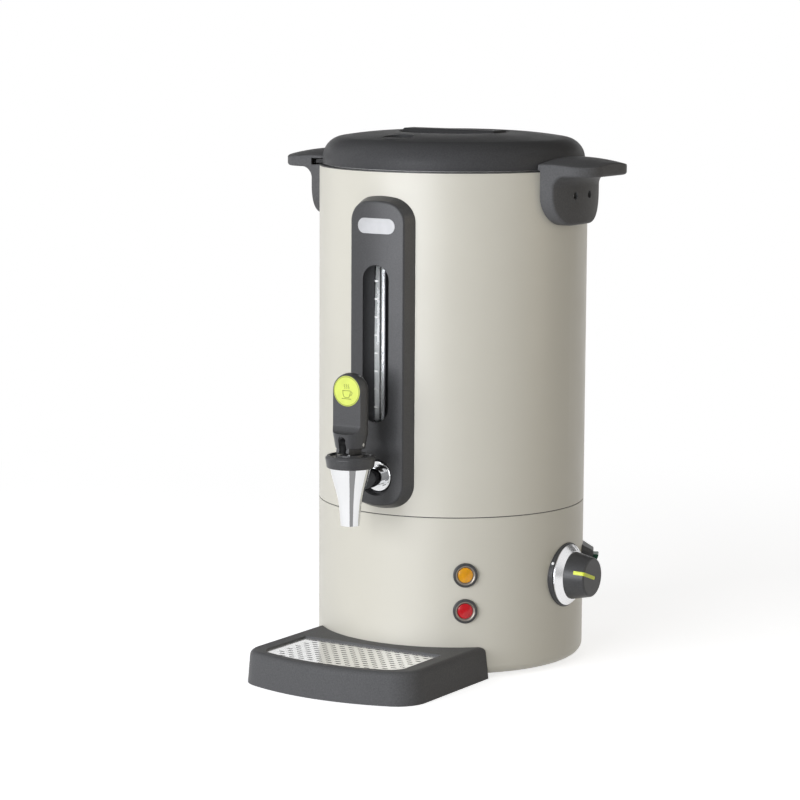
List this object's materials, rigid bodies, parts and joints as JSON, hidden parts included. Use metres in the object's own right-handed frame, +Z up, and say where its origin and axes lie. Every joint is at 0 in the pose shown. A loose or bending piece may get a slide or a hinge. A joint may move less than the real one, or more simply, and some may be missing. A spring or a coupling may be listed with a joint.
{
  "type": "hot water urn",
  "caption": "Double-walled hot water urn with a lever tap, glass level gauge, bayonet lid, heater knob, lamps, side handles and a removable drip tray.",
  "frame": {"origin": "on the axis of the round body, on the surface that the urn stands on", "axes": "+Z up along the body's axis, -Y towards the front where the tap and the gauge are, +X towards the right handle and the knob"},
  "size_m": [0.303, 0.3406, 0.4472],
  "materials": {
    "shell_paint": "satin greige powder coat on sheet steel",
    "stainless": "drawn stainless sheet, satin",
    "zinc_steel": "zinc-plated fasteners",
    "chrome": "polished chrome plate on brass",
    "aluminium": "cast plate",
    "dial_metal": "turned, satin",
    "black_plastic": "fine-grained black-grey moulding",
    "rubber": "soft black",
    "silicone": "translucent white silicone",
    "glass": "clear tube",
    "lens_amber": "clear amber",
    "lens_red": "clear red",
    "lime": "satin lime",
    "rocker_green": "translucent green",
    "inner_plastic": "natural polyamide"
  },
  "bodies": {
    "urn": {"base_housing": "shell_paint", "outer_jacket": "shell_paint", "joint_ring": "black_plastic", "inner_tank": "stainless", "base_plate": "stainless", "rubber_feet": "rubber", "base_screws": "zinc_steel", "heat_plate": "aluminium", "heating_element": "stainless", "dry_boil_cutout": "inner_plastic", "tank_studs": "zinc_steel", "stud_nuts": "zinc_steel", "terminal_block": "inner_plastic", "cable_gland": "black_plastic", "gland_nut": "black_plastic", "lamp_bezels": "black_plastic", "lamp_lens_amber": "lens_amber", "lamp_lens_red": "lens_red", "lamp_nuts": "black_plastic", "thermostat_bracket": "zinc_steel", "thermostat_body": "inner_plastic", "thermostat_screws": "zinc_steel", "knob_bezel": "black_plastic", "switch_pod": "black_plastic", "switch_body": "black_plastic", "front_panel": "black_plastic", "badge_plate": "dial_metal", "panel_screws": "zinc_steel", "sight_tube": "glass", "gauge_fittings": "stainless", "gauge_seals": "silicone", "gauge_nuts": "stainless", "tap_body": "chrome", "tap_escutcheon": "chrome", "tap_washers": "silicone", "tap_lock_nut": "stainless", "tap_bonnet": "black_plastic", "tap_spring": "stainless", "handle_right": "black_plastic", "handle_left": "black_plastic", "handle_screws": "zinc_steel", "handle_nuts": "zinc_steel"},
    "lid_seal": {"lid_gasket": "silicone"},
    "lid": {"lid_cover": "black_plastic", "lid_grip": "black_plastic", "steam_vent": "black_plastic", "lid_liner": "stainless", "lid_screws": "zinc_steel"},
    "tap_valve": {"tap_stem": "stainless", "tap_seat_cup": "silicone"},
    "lever": {"tap_lever": "black_plastic", "lever_badge": "lime", "lever_pin": "stainless"},
    "knob": {"knob_dial": "dial_metal", "knob_cap": "black_plastic", "knob_pointer": "lime", "thermostat_shaft": "stainless"},
    "rocker": {"switch_rocker": "rocker_green"},
    "tray": {"drip_tray": "black_plastic"},
    "grid": {"drip_grid": "stainless"}
  },
  "joints": [
    {"name": "lid_lift", "type": "slide", "parent": "urn", "child": "lid_seal", "axis": [0, 0, 1], "range_m": [0, 0.15]},
    {"name": "lid_twist", "type": "hinge", "parent": "lid_seal", "child": "lid", "pos_m": [0, 0, 0.418], "axis": [0, 0, 1], "range_deg": [-26.5, 0]},
    {"name": "tap_stem_lift", "type": "slide", "parent": "urn", "child": "tap_valve", "axis": [0, 0, 1], "range_m": [0, 0.00321], "deforming": ["tap_spring"]},
    {"name": "tap_lever_tilt", "type": "hinge", "parent": "tap_valve", "child": "lever", "pos_m": [0, -0.16, 0.2], "axis": [1, 0, 0], "range_deg": [0, 32], "stiffness_Nm_per_rad": 0.0263, "springref_deg": -39.99},
    {"name": "knob_turn", "type": "hinge", "parent": "urn", "child": "knob", "pos_m": [0.12, 0, 0.078], "axis": [1, 0, 0], "range_deg": [-270, 0]},
    {"name": "rocker_tilt", "type": "hinge", "parent": "urn", "child": "rocker", "pos_m": [0.10514, 0.05357, 0.077], "axis": [-0.454, 0.891, 0], "range_deg": [-15, 0]},
    {"name": "tray_slide", "type": "slide", "parent": "urn", "child": "tray", "axis": [0, -1, 0], "range_m": [0, 0.1]},
    {"name": "grid_lift", "type": "slide", "parent": "tray", "child": "grid", "axis": [0, 0, 1], "range_m": [0, 0.06]}
  ],
  "couplings": [
    {"joint": "tap_stem_lift", "follows": "tap_lever_tilt", "m_per_rad": 0.0057296}
  ]
}
